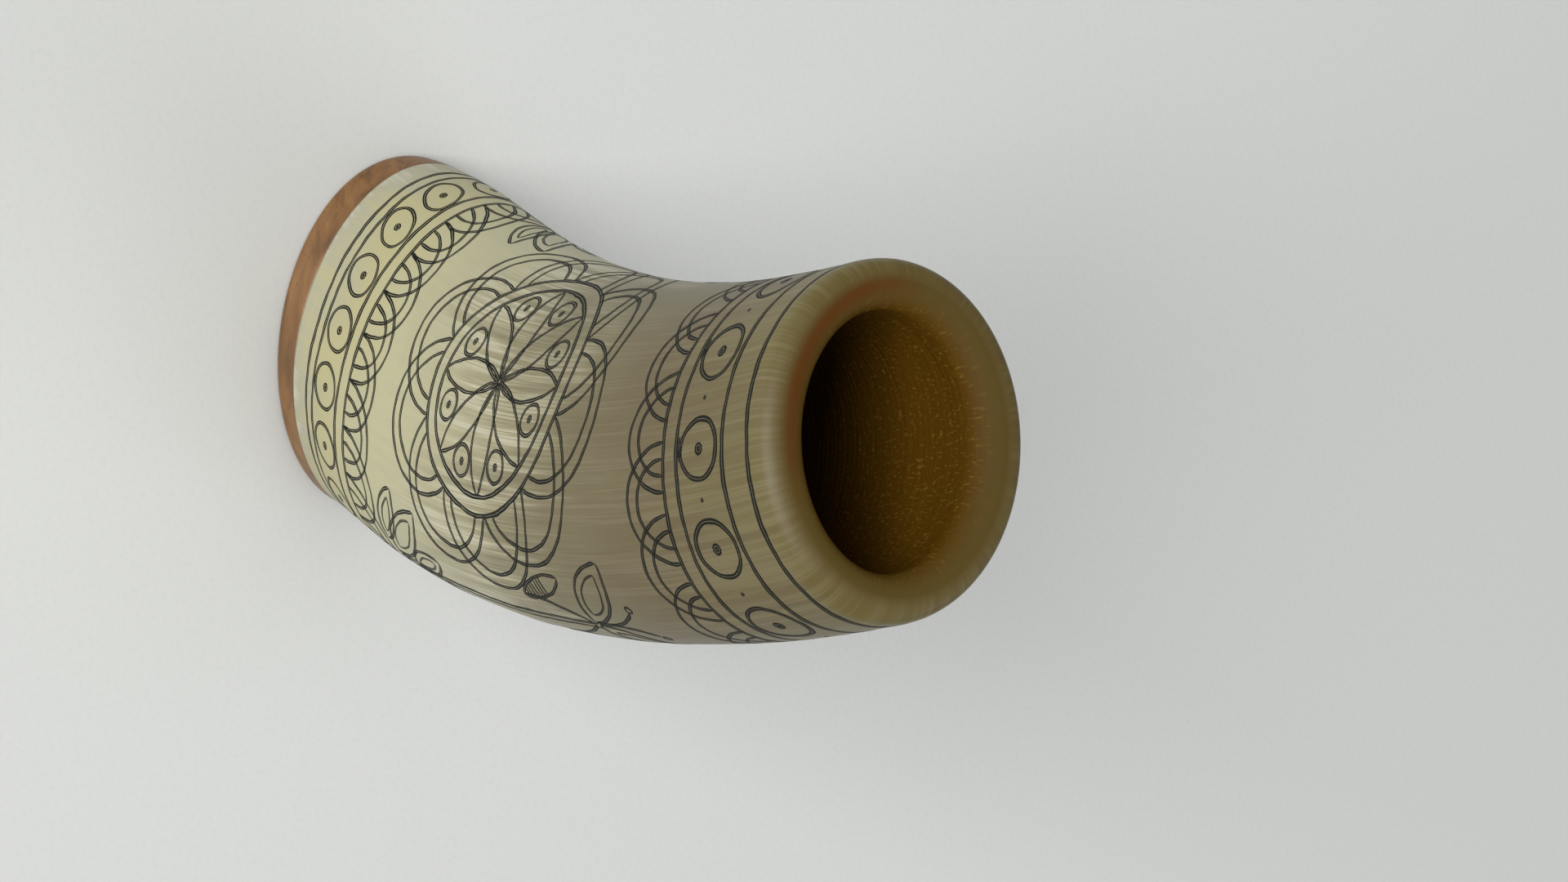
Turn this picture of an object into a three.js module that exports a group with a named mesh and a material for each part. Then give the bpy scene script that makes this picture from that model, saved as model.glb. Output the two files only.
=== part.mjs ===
// A drinking cup made from one curved piece of cattle horn. The wide end of the
// horn is closed by an oval wooden base, and the cup stands on it.
//
// Millimetres and degrees. +Z is up, and the origin is the centre of the
// underside of the wooden base.
import * as THREE from 'three';

// ---- Driving dimensions ----------------------------------------------------

// The horn's centre line is a cubic curve from the underside of the base to
// the middle of the mouth. The two handles set how it leaves and arrives.
const MOUTH_HEIGHT = 175;
const MOUTH_OFFSET = -15;
const BASE_HANDLE = [3, 8, 14];
const MOUTH_HANDLE = [17.5, -15.5, 78];

// The way the mouth faces: its lean from upright, and the heading of the lean
// counted anticlockwise from +X.
const MOUTH_LEAN = 23.5;
const MOUTH_HEADING = 203;

// Outer section of the horn at the base, half way up and at the mouth: an
// oval's length and width, and the angle that its length makes with +X.
const BASE_OVAL = { length: 71, width: 47.5, turn: -24 };
const WAIST_OVAL = { length: 67, width: 44, turn: -41 };
const MOUTH_OVAL = { length: 58, width: 45, turn: -24 };

// Horn wall, and the rounding of the lip outside and inside.
const WALL_AT_BASE = 3.5;
const WALL_AT_MOUTH = 8.2;
const LIP_OUTER_RADIUS = 3.4;
const LIP_INNER_RADIUS = 4.2;

// Wooden base: the slab that shows, the spigot that stands in the horn, and
// the rounding of the slab's lower edge.
const SLAB_THICKNESS = 5.5;
const SPIGOT_HEIGHT = 11.5;
const SLAB_EDGE_RADIUS = 1.8;

// Glue between the spigot and the horn, and the sealing bead in the corner
// between the cup's floor and its wall. Each keeps CLEARANCE to its neighbours.
const GLUE_THICKNESS = 0.6;
const BEAD_SIZE = 2.4;
const CLEARANCE = 0.1;

// Facets: points round a section, sections along the horn, steps in a rounding.
const AROUND = 48;
const OUTER_ROWS = 26;
const INNER_ROWS = 20;
const SEAT_ROWS = 5;
const ROUND_STEPS = 4;

// ---- The horn as a surface -------------------------------------------------

const UP = new THREE.Vector3(0, 0, 1);
const SIDEWAYS = new THREE.Vector3(0, 1, 0);
const FLOOR_HEIGHT = SLAB_THICKNESS + SPIGOT_HEIGHT;
const LEVEL_HEIGHT = FLOOR_HEIGHT + BEAD_SIZE + 1;

const centreLine = new THREE.CubicBezierCurve3(
  new THREE.Vector3(0, 0, 0),
  new THREE.Vector3(...BASE_HANDLE),
  new THREE.Vector3(...MOUTH_HANDLE),
  new THREE.Vector3(MOUTH_OFFSET, 0, MOUTH_HEIGHT),
);
const heading = THREE.MathUtils.degToRad(MOUTH_HEADING);
const leanAxis = new THREE.Vector3(-Math.sin(heading), Math.cos(heading), 0);
const mouthSpeed = new THREE.Vector3(MOUTH_OFFSET, 0, MOUTH_HEIGHT)
  .sub(new THREE.Vector3(...MOUTH_HANDLE))
  .multiplyScalar(3)
  .length();

// The station, 0 at the underside and 1 at the mouth, where the centre line
// reaches a height.
function stationAtHeight(height) {
  let low = 0;
  let high = 1;
  while (high - low > 1e-7) {
    const middle = (low + high) / 2;
    if (centreLine.getPoint(middle).z < height) low = middle;
    else high = middle;
  }
  return (low + high) / 2;
}

const LEVEL_STATION = stationAtHeight(LEVEL_HEIGHT);
const CUT_STATION = stationAtHeight(SLAB_THICKNESS + CLEARANCE);

// Stations up the spigot's seat. The bore, the glue and the spigot all use them,
// so that their facets run alongside each other.
const SEAT = stations(CUT_STATION, stationAtHeight(FLOOR_HEIGHT), SEAT_ROWS);

// The station that lies a depth below the mouth.
function stationBelowMouth(depth) {
  return 1 - depth / mouthSpeed;
}

// The parabola through three values at the base, half way and the mouth.
function throughThree(base, waist, mouth, t) {
  const rise = mouth - base;
  const belly = 2 * (base + mouth - 2 * waist);
  return base + (rise - belly) * t + belly * t * t;
}

// The wall's thickness, which grows towards the mouth.
function wallAt(t) {
  return THREE.MathUtils.lerp(WALL_AT_BASE, WALL_AT_MOUTH, t * t);
}

// One closed loop of points on the section at a station, moved inwards by
// inset. Sections stay level up to LEVEL_HEIGHT, then lean towards the mouth's.
function loop(t, inset) {
  const lean = Math.max(0, (t - LEVEL_STATION) / (1 - LEVEL_STATION));
  const normal = UP.clone().applyAxisAngle(
    leanAxis,
    THREE.MathUtils.degToRad(MOUTH_LEAN) * lean,
  );
  const across = SIDEWAYS.clone().cross(normal).normalize();
  const along = normal.clone().cross(across);
  const ovals = [BASE_OVAL, WAIST_OVAL, MOUTH_OVAL];
  const halfLength = throughThree(...ovals.map((o) => o.length / 2), t) - inset;
  const halfWidth = throughThree(...ovals.map((o) => o.width / 2), t) - inset;
  const turn = throughThree(...ovals.map((o) => THREE.MathUtils.degToRad(o.turn)), t);
  const centre = centreLine.getPoint(t);
  return Array.from({ length: AROUND }, (_, i) => {
    const angle = (i / AROUND) * 2 * Math.PI - turn;
    const x = halfLength * Math.cos(angle);
    const y = halfWidth * Math.sin(angle);
    const turnedX = x * Math.cos(turn) - y * Math.sin(turn);
    const turnedY = x * Math.sin(turn) + y * Math.cos(turn);
    return centre.clone().addScaledVector(across, turnedX).addScaledVector(along, turnedY);
  });
}

// Evenly spaced stations from one to another, both included.
function stations(from, to, count) {
  return Array.from({ length: count }, (_, i) =>
    THREE.MathUtils.lerp(from, to, i / (count - 1)),
  );
}

// Angles of a quarter turn, from just after 0 up to 90 degrees.
function quarterTurn() {
  return Array.from({ length: ROUND_STEPS }, (_, i) => ((i + 1) / ROUND_STEPS) * (Math.PI / 2));
}

// ---- Closed solids from loops ----------------------------------------------

// Joins neighbouring loops with quads. A ring joins its last loop to its first,
// and a plug is closed by a fan at each end.
function solidFromLoops(loops, isRing) {
  const points = loops.flat();
  const faces = [];
  const last = isRing ? loops.length : loops.length - 1;
  for (let row = 0; row < last; row += 1) {
    const lower = row * AROUND;
    const upper = ((row + 1) % loops.length) * AROUND;
    for (let i = 0; i < AROUND; i += 1) {
      const next = (i + 1) % AROUND;
      faces.push(lower + i, lower + next, upper + next);
      faces.push(lower + i, upper + next, upper + i);
    }
  }
  if (!isRing) {
    closeWithFan(points, faces, 0, false);
    closeWithFan(points, faces, (loops.length - 1) * AROUND, true);
  }
  const geometry = new THREE.BufferGeometry().setFromPoints(points);
  geometry.setIndex(faces);
  geometry.computeVertexNormals();
  return geometry;
}

// A fan of triangles over the loop that starts at first, facing up or down.
function closeWithFan(points, faces, first, facesUp) {
  const middle = new THREE.Vector3();
  for (let i = 0; i < AROUND; i += 1) middle.addScaledVector(points[first + i], 1 / AROUND);
  const centre = points.push(middle) - 1;
  for (let i = 0; i < AROUND; i += 1) {
    const here = first + i;
    const next = first + ((i + 1) % AROUND);
    faces.push(centre, facesUp ? here : next, facesUp ? next : here);
  }
}

// ---- The pieces ------------------------------------------------------------

// The horn: up the outside, over the rounded lip and down the inside.
function hornBody() {
  const outside = stations(CUT_STATION, stationBelowMouth(LIP_OUTER_RADIUS), OUTER_ROWS).map(
    (t) => loop(t, 0),
  );
  const outerLip = quarterTurn().map((angle) =>
    loop(
      stationBelowMouth(LIP_OUTER_RADIUS * (1 - Math.sin(angle))),
      LIP_OUTER_RADIUS * (1 - Math.cos(angle)),
    ),
  );
  const innerLip = quarterTurn().map((angle) =>
    loop(
      stationBelowMouth(LIP_INNER_RADIUS * (1 - Math.cos(angle))),
      WALL_AT_MOUTH - LIP_INNER_RADIUS * (1 - Math.sin(angle)),
    ),
  );
  const crest = loop(1, WALL_AT_MOUTH - LIP_INNER_RADIUS);
  const bore = [
    ...stations(stationBelowMouth(LIP_INNER_RADIUS), LEVEL_STATION, INNER_ROWS).slice(1),
    ...SEAT.toReversed(),
  ].map((t) => loop(t, wallAt(t)));
  return solidFromLoops([...outside, ...outerLip, crest, ...innerLip, ...bore], true);
}

// The base: a slab flush with the horn's outside, and a spigot inside the horn.
function woodenBase() {
  const edge = [0, ...quarterTurn()].map((angle) =>
    loop(
      stationAtHeight(SLAB_EDGE_RADIUS * (1 - Math.cos(angle))),
      SLAB_EDGE_RADIUS * (1 - Math.sin(angle)),
    ),
  );
  const slabTop = stationAtHeight(SLAB_THICKNESS);
  const spigotInset = (t) => wallAt(t) + GLUE_THICKNESS + 2 * CLEARANCE;
  const slab = [loop(slabTop, 0), loop(slabTop, spigotInset(slabTop))];
  const spigot = SEAT.map((t) => loop(t, spigotInset(t)));
  return solidFromLoops([...edge, ...slab, ...spigot], false);
}

// The glue: a thin sleeve between the spigot and the horn's bore.
function glueSleeve() {
  const outer = (t) => wallAt(t) + CLEARANCE;
  const inner = (t) => outer(t) + GLUE_THICKNESS;
  return solidFromLoops(
    [...SEAT.map((t) => loop(t, outer(t))), ...SEAT.toReversed().map((t) => loop(t, inner(t)))],
    true,
  );
}

// The sealing bead: a ring with a hollow face in the corner of floor and wall.
function sealingBead() {
  const foot = FLOOR_HEIGHT + CLEARANCE;
  const face = [0, ...quarterTurn()].map((angle) => {
    const t = stationAtHeight(foot + BEAD_SIZE * (1 - Math.sin(angle)));
    return loop(t, wallAt(t) + CLEARANCE + BEAD_SIZE * (1 - Math.cos(angle)));
  });
  const corner = stationAtHeight(foot);
  return solidFromLoops([loop(corner, wallAt(corner) + CLEARANCE), ...face], true);
}

// ---- The assembly ----------------------------------------------------------

// A named mesh with a material of its own.
function piece(name, geometry, colour, roughness) {
  const material = new THREE.MeshStandardMaterial({ color: colour, roughness, metalness: 0 });
  const mesh = new THREE.Mesh(geometry, material);
  mesh.name = name;
  return mesh;
}

const cup = new THREE.Group();
cup.add(piece('horn_body', hornBody(), 0xb8a982, 0.35));
cup.add(piece('wooden_base', woodenBase(), 0x7a4a2c, 0.5));
cup.add(piece('glue_sleeve', glueSleeve(), 0xc9b88a, 0.4));
cup.add(piece('sealing_bead', sealingBead(), 0x8a6a35, 0.3));

export default cup;
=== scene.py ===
"""The looks of a drinking cup made from one curved piece of cattle horn on an oval wooden base.

The horn's outer face is engraved with bands and two rosettes, and black pigment lies in the cuts.
Shapes are worked out in millimetres in the model's own frame and become metres when a mesh is made.
"""
import logging
from dataclasses import dataclass, field
from enum import Enum

import bpy
import numpy as np
from mathutils import Matrix, Vector


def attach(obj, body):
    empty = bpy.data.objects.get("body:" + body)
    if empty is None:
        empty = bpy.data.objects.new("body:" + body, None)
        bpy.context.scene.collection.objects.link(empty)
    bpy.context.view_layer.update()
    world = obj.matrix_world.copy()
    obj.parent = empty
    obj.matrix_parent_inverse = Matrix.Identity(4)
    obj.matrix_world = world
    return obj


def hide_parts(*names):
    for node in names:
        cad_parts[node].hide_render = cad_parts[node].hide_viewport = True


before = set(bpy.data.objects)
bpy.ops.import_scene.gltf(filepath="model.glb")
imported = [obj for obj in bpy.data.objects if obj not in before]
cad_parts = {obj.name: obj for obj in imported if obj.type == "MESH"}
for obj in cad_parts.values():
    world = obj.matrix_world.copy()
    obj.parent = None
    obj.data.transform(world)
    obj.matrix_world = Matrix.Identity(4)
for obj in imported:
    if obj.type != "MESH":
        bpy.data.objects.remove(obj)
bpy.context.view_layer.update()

MM = 0.001
LOG = logging.getLogger("horn_cup")
Array = np.ndarray
Place = tuple[float, float]
Leaf = tuple[Place, Place, float]
Scale = float | tuple[float, float, float]
Socket = bpy.types.NodeSocket
Stops = tuple[tuple[float, str], ...]


# ---- Small helpers ---------------------------------------------------------------------------


def linear(hex_colour: str) -> tuple[float, float, float, float]:
    """Turn an sRGB hex colour into linear red, green, blue and alpha.

    Args:
        hex_colour: six hex digits, without a hash sign.

    Returns:
        Linear values: v / 12.92 below 0.04045, and ((v + 0.055) / 1.055) ** 2.4 above.
    """
    values = np.array([int(hex_colour[i:i + 2], 16) / 255 for i in (0, 2, 4)])
    curved = ((values + 0.055) / 1.055) ** 2.4
    red, green, blue = np.where(values <= 0.04045, values / 12.92, curved)
    return (float(red), float(green), float(blue), 1.0)


def add_node(
    tree: bpy.types.NodeTree,
    kind: str,
    inputs: dict | None = None,
    stops: Stops = (),
    **settings: object,
) -> bpy.types.Node:
    """Add one shader node with its settings, values and links.

    Args:
        tree: the node tree that the node joins.
        kind: the node's type, such as ShaderNodeMath.
        inputs: for each input's name or number, a value or another node's output.
        stops: for a colour ramp, its places and hex colours in order.
        settings: the node's own properties, such as operation or blend_type.

    Returns:
        The new node.
    """
    node = tree.nodes.new(kind)
    for name, value in settings.items():
        setattr(node, name, value)
    for key, value in (inputs or {}).items():
        if isinstance(value, Socket):
            tree.links.new(value, node.inputs[key])
        else:
            node.inputs[key].default_value = value
    if stops:
        elements = node.color_ramp.elements
        while len(elements) < len(stops):
            elements.new(0.5)
        for element, (place, colour) in zip(elements, stops):
            element.position = place
            element.color = linear(colour)
    return node


def grid_faces(rows: int, columns: int, ring: bool) -> Array:
    """List the quads between neighbouring closed loops of points.

    Args:
        rows: how many loops there are.
        columns: how many points a loop has.
        ring: whether the last loop joins the first.

    Returns:
        One row of four vertex numbers for each quad, facing away from the loops' axis.
    """
    row, column = np.meshgrid(np.arange(rows if ring else rows - 1), np.arange(columns), indexing="ij")
    below, above = row * columns, ((row + 1) % rows) * columns
    beside = (column + 1) % columns
    quads = np.stack([below + column, below + beside, above + beside, above + column], axis=-1)
    return quads.reshape(-1, 4)


def make_piece(
    name: str,
    points: Array,
    faces: list,
    material: bpy.types.Material,
    vectors: dict[str, Array] | None = None,
) -> bpy.types.Object:
    """Put a mesh at the origin of the model's frame, smooth and with one material.

    Args:
        name: the piece's name.
        points: its vertices in millimetres.
        faces: vertex numbers for each face.
        material: its finish.
        vectors: named vector attributes with a row for each vertex.

    Returns:
        The new object.
    """
    mesh = bpy.data.meshes.new(name)
    mesh.from_pydata((points * MM).tolist(), [], faces)
    for attribute, values in (vectors or {}).items():
        layer = mesh.attributes.new(attribute, "FLOAT_VECTOR", "POINT")
        layer.data.foreach_set("vector", values.astype(np.float32).ravel())
    mesh.polygons.foreach_set("use_smooth", np.ones(len(mesh.polygons), dtype=bool))
    mesh.materials.append(material)
    mesh.update()
    piece = bpy.data.objects.new(name, mesh)
    bpy.context.scene.collection.objects.link(piece)
    return piece


def declare(piece: bpy.types.Object, slot: str, *nodes: str) -> bpy.types.Object:
    """Let a piece ride on the cup, hide the CAD nodes that it replaces, and log it.

    Args:
        piece: the finished piece.
        slot: the record's material slot; not used.
        nodes: the CAD nodes that the piece replaces.

    Returns:
        The same piece.
    """
    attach(piece, "root")
    if nodes:
        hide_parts(*nodes)
    LOG.info("%s: %d vertices, %d faces", piece.name, len(piece.data.vertices), len(piece.data.polygons))
    return piece


# ---- The form of the horn --------------------------------------------------------------------


@dataclass(frozen=True)
class Oval:
    """An oval section: its length, its width and the angle of its length to +X, in degrees."""

    length: float
    width: float
    turn: float


@dataclass(frozen=True)
class HornForm:
    """The horn as a surface of two parameters, in millimetres.

    A station t runs from 0 at the underside of the base to 1 at the lip's crest, and an angle runs
    round each section.
    """

    base_handle: tuple[float, float, float] = (3.0, 8.0, 14.0)
    mouth_handle: tuple[float, float, float] = (17.5, -15.5, 78.0)
    mouth_centre: tuple[float, float, float] = (-15.0, 0.0, 175.0)
    mouth_lean: float = 23.5
    mouth_heading: float = 203.0
    base_oval: Oval = Oval(71.0, 47.5, -24.0)
    waist_oval: Oval = Oval(67.0, 44.0, -41.0)
    mouth_oval: Oval = Oval(58.0, 45.0, -24.0)
    wall_at_base: float = 3.5
    wall_at_mouth: float = 8.2
    lip_outer_radius: float = 3.4
    lip_inner_radius: float = 4.2
    slab_thickness: float = 5.5
    slab_edge_radius: float = 1.8
    spigot_height: float = 11.5
    glue_thickness: float = 0.6
    bead_size: float = 2.4
    clearance: float = 0.1
    ripple: float = 0.1

    @property
    def floor_height(self) -> float:
        """The height of the spigot's top, which is the cup's floor inside."""
        return self.slab_thickness + self.spigot_height

    def centre(self, t: Array) -> Array:
        """The centre line: the cubic Bezier curve of the base's centre, two handles and the mouth's.

        Args:
            t: stations.

        Returns:
            Points, with a last axis of 3.
        """
        t = np.asarray(t, float)[..., None]
        corners = ((0, 0, 0), self.base_handle, self.mouth_handle, self.mouth_centre)
        start, first, second, end = map(np.array, corners)
        s = 1 - t
        return s**3 * start + 3 * s**2 * t * first + 3 * s * t**2 * second + t**3 * end

    def station_at_height(self, height: Array) -> Array:
        """The station where the centre line reaches a height, read from a fine table."""
        table = np.linspace(0, 1, 4001)
        return np.interp(height, self.centre(table)[:, 2], table)

    def station_below_mouth(self, depth: Array) -> Array:
        """The station a depth below the crest, at the centre line's speed there."""
        speed = 3 * np.linalg.norm(np.subtract(self.mouth_centre, self.mouth_handle))
        return 1 - np.asarray(depth, float) / speed

    def wall(self, t: Array) -> Array:
        """The wall's thickness, which grows with the square of the station."""
        return self.wall_at_base + (self.wall_at_mouth - self.wall_at_base) * np.asarray(t, float) ** 2

    def through_three(self, values: tuple[float, float, float], t: Array) -> Array:
        """The parabola through the values at the base, half way and the mouth.

        Args:
            values: the three values.
            t: stations.

        Returns:
            The parabola's value at each station.
        """
        base, waist, mouth = values
        belly = 2 * (base + mouth - 2 * waist)
        return base + (mouth - base - belly) * t + belly * t * t

    def point(self, t: Array, angle: Array, inset: Array = 0.0) -> Array:
        """Points of the surface.

        The section's point is (a cos, b sin) of the angle, turned in the section's plane, where a
        and b are half the oval's length and width less the inset. The plane is level up to just
        over the bead and then leans in step with the station. A ripple of slow sine waves, as a
        scraped surface has, is added to a and b.

        Args:
            t: stations.
            angle: angles round the section, in radians.
            inset: how far inside the outer face.

        Returns:
            Points, with the shape of the broadcast arguments and a last axis of 3.
        """
        t, angle, inset = np.broadcast_arrays(np.asarray(t, float), angle, inset)
        level = self.station_at_height(self.floor_height + self.bead_size + 1)
        lean = np.radians(self.mouth_lean) * np.maximum(0, (t - level) / (1 - level))
        heading = np.radians(self.mouth_heading)
        normal = np.stack(
            [np.sin(lean) * np.cos(heading), np.sin(lean) * np.sin(heading), np.cos(lean)], axis=-1
        )
        across = np.stack([normal[..., 2], 0 * t, -normal[..., 0]], axis=-1)
        across /= np.linalg.norm(across, axis=-1, keepdims=True)
        along = np.cross(normal, across)
        ovals = (self.base_oval, self.waist_oval, self.mouth_oval)
        wave = np.sin(3 * angle + 9 * t) + np.sin(5 * angle - 21 * t + 1) + 0.7 * np.sin(2 * angle + 43 * t)
        fade = np.clip(t / 0.15, 0, 1) * np.clip((1 - t) / 0.03, 0, 1)
        grown = self.ripple * fade * wave / 2 - inset
        half_length = self.through_three(tuple(o.length / 2 for o in ovals), t) + grown
        half_width = self.through_three(tuple(o.width / 2 for o in ovals), t) + grown
        turn = np.radians(self.through_three(tuple(o.turn for o in ovals), t))
        x = half_length * np.cos(angle - turn)
        y = half_width * np.sin(angle - turn)
        flat_x = (x * np.cos(turn) - y * np.sin(turn))[..., None]
        flat_y = (x * np.sin(turn) + y * np.cos(turn))[..., None]
        return self.centre(t) + flat_x * across + flat_y * along

    def normal(self, t: Array, angle: Array) -> Array:
        """Unit normals of the outer face: the cross product of its two central differences.

        Args:
            t: stations.
            angle: angles round the section, in radians.

        Returns:
            Normals that face out, with a last axis of 3.
        """
        step = 1e-4
        round_it = self.point(t, angle + step) - self.point(t, angle - step)
        up_it = self.point(t + step, angle) - self.point(t - step, angle)
        normal = np.cross(round_it, up_it)
        return normal / np.linalg.norm(normal, axis=-1, keepdims=True)


class UnrolledHorn:
    """The outer face laid flat, so that an engraver's drawing can be put on it.

    A place on the drawing is (around, up) in millimetres: around is the arc length along the
    section from the front line, and up is the arc length along the front line.
    """

    def __init__(self, form: HornForm, front_angle: float, rows: int = 241, columns: int = 721) -> None:
        """Measure the face once: arc lengths by summing the chords of a fine grid.

        Args:
            form: the horn.
            front_angle: the section angle of the front line, in radians.
            rows: how many sections are measured.
            columns: how many points are measured on each.
        """
        self.form = form
        self.stations = np.linspace(0, 1, rows)
        turns = np.linspace(-np.pi, np.pi, columns)
        grid = form.point(self.stations[:, None], front_angle + turns[None, :])
        chords = np.linalg.norm(np.diff(grid, axis=1), axis=2)
        arcs = np.concatenate([np.zeros((rows, 1)), np.cumsum(chords, axis=1)], axis=1)
        arcs -= arcs[:, [columns // 2]]
        self.starts, self.ends = arcs[:, 0], arcs[:, -1]
        shares = np.linspace(0, 1, columns)
        spans = zip(self.starts, self.ends, arcs)
        self.angles = front_angle + np.stack(
            [np.interp(low + shares * (high - low), arc, turns) for low, high, arc in spans]
        )
        rise = np.linalg.norm(np.diff(grid, axis=0), axis=2)
        self.heights = np.concatenate([[0], np.cumsum(rise[:, columns // 2])])
        self.rise_at = rise[:, ::columns // 8]
        self.columns = columns

    def girth(self, up: float) -> float:
        """The length round the face at a height on the drawing."""
        return float(np.interp(up, self.heights, self.ends - self.starts))

    def back_stretch(self, up: float) -> float:
        """How much faster a height on the drawing rises on the front line than on the back one."""
        row = int(np.searchsorted(self.heights, up))
        return float(self.rise_at[row, 4] / self.rise_at[row, 0])

    def place(self, around: Array, up: Array) -> tuple[Array, Array]:
        """Find stations and angles on the horn for places on the drawing.

        The station comes from the height by interpolation. The angle comes from the table of
        evenly spaced arc lengths, read between its two nearest rows and columns.

        Args:
            around: arc lengths round the section.
            up: arc lengths up the front line.

        Returns:
            Stations and angles.
        """
        t = np.interp(up, self.heights, self.stations)
        row = np.clip(t * (len(self.stations) - 1), 0, len(self.stations) - 1.001)
        low = row.astype(int)
        part = row - low
        start = self.starts[low] * (1 - part) + self.starts[low + 1] * part
        end = self.ends[low] * (1 - part) + self.ends[low + 1] * part
        laps, share = np.divmod((around - start) / (end - start), 1.0)
        column = share * (self.columns - 1)
        left = np.minimum(column.astype(int), self.columns - 2)
        beside = column - left
        lower = self.angles[low, left] * (1 - beside) + self.angles[low, left + 1] * beside
        upper = self.angles[low + 1, left] * (1 - beside) + self.angles[low + 1, left + 1] * beside
        return t, lower * (1 - part) + upper * part + 2 * np.pi * laps


# ---- Engraving -------------------------------------------------------------------------------


class Cut(Enum):
    """The gravers, by the width of the cut that each leaves, in millimetres."""

    FINE = 0.55
    LINE = 0.85
    BOLD = 1.1
    BROAD = 1.2


@dataclass(frozen=True)
class Stroke:
    """One cut: its path on the drawing, its width, and its lap.

    A lap is the step on the drawing from a closed stroke's start to its end. It is zero for a
    loop, the girth for a line round the horn, and None for a stroke with two ends.
    """

    path: Array
    width: float
    lap: float | None = None


def arc(centre: Place, radii: Place, start: float, end: float) -> Array:
    """Points of an elliptical arc, about three for each millimetre.

    Args:
        centre: the ellipse's centre on the drawing.
        radii: its half width and half height.
        start: the first angle in degrees.
        end: the last angle in degrees.

    Returns:
        A row of (around, up) for each point: centre + radii * (cos, sin).
    """
    count = max(8, int(3 * np.radians(abs(end - start)) * max(radii)))
    angles = np.radians(np.linspace(start, end, count))
    return np.column_stack([centre[0] + radii[0] * np.cos(angles), centre[1] + radii[1] * np.sin(angles)])


def bow(start: Place, end: Place, bulge: float) -> Array:
    """Points of a shallow bow from one place to another.

    Args:
        start: the first place.
        end: the last place.
        bulge: how far the bow stands to the left of the chord at its middle.

    Returns:
        The chord plus bulge * (4 u (1 - u)) ** 0.8 along its left normal, for u from 0 to 1.
    """
    chord = np.subtract(end, start)
    length = float(np.hypot(*chord))
    u = np.linspace(0, 1, max(10, int(3 * length)))[:, None]
    left = np.array([-chord[1], chord[0]]) / length
    return np.array(start) + u * chord + bulge * (4 * u * (1 - u)) ** 0.8 * left


def evened(path: Array, lap: float | None, step: float = 0.4) -> Array:
    """Space a path's points evenly by arc length.

    Args:
        path: the points on the drawing.
        lap: the stroke's lap, or None.
        step: about how far apart the new points are.

    Returns:
        The new points, without the last one where there is a lap.
    """
    if lap is not None:
        path = np.vstack([path, path[:1] + [[lap, 0]]])
    lengths = np.concatenate([[0], np.cumsum(np.hypot(*np.diff(path, axis=0).T))])
    count = max(6, int(round(lengths[-1] / step)))
    places = np.linspace(0, lengths[-1], count + 1)
    spaced = np.column_stack([np.interp(places, lengths, path[:, i]) for i in (0, 1)])
    return spaced if lap is None else spaced[:-1]


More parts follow.
